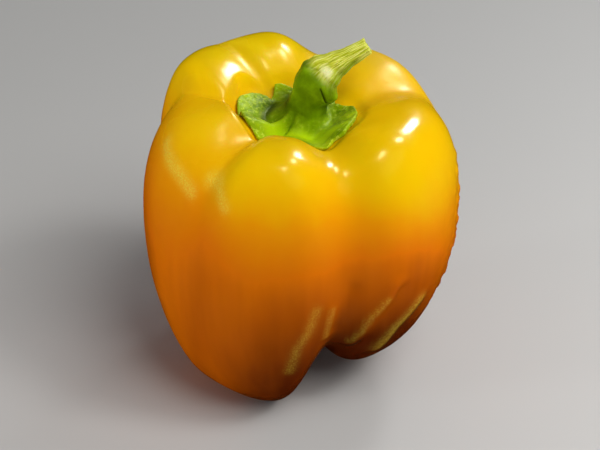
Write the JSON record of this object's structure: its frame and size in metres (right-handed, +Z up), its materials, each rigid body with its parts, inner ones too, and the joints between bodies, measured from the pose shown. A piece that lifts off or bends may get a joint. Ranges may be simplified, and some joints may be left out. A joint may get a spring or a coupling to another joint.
{
  "type": "bell pepper",
  "caption": "Blocky bell pepper with lobed shoulders, a calyx sunk in the top and a short hooked stem, standing on its lobe tips.",
  "frame": {"origin": "on the ground, below the middle of the whole outline", "axes": "+Z up along the fruit's own axis, -Y towards the front lobe, +X to the right, where the cut end of the stem points"},
  "size_m": [0.0838, 0.0818, 0.0973],
  "materials": {
    "skin": "smooth waxy skin with a wet gloss, yellow at the shoulders and turning orange lower down",
    "stem": "satin green, finely speckled, turning pale and woody towards the cut end"
  },
  "bodies": {
    "root": {"fruit": "skin", "stem_with_calyx": "stem"}
  },
  "joints": []
}
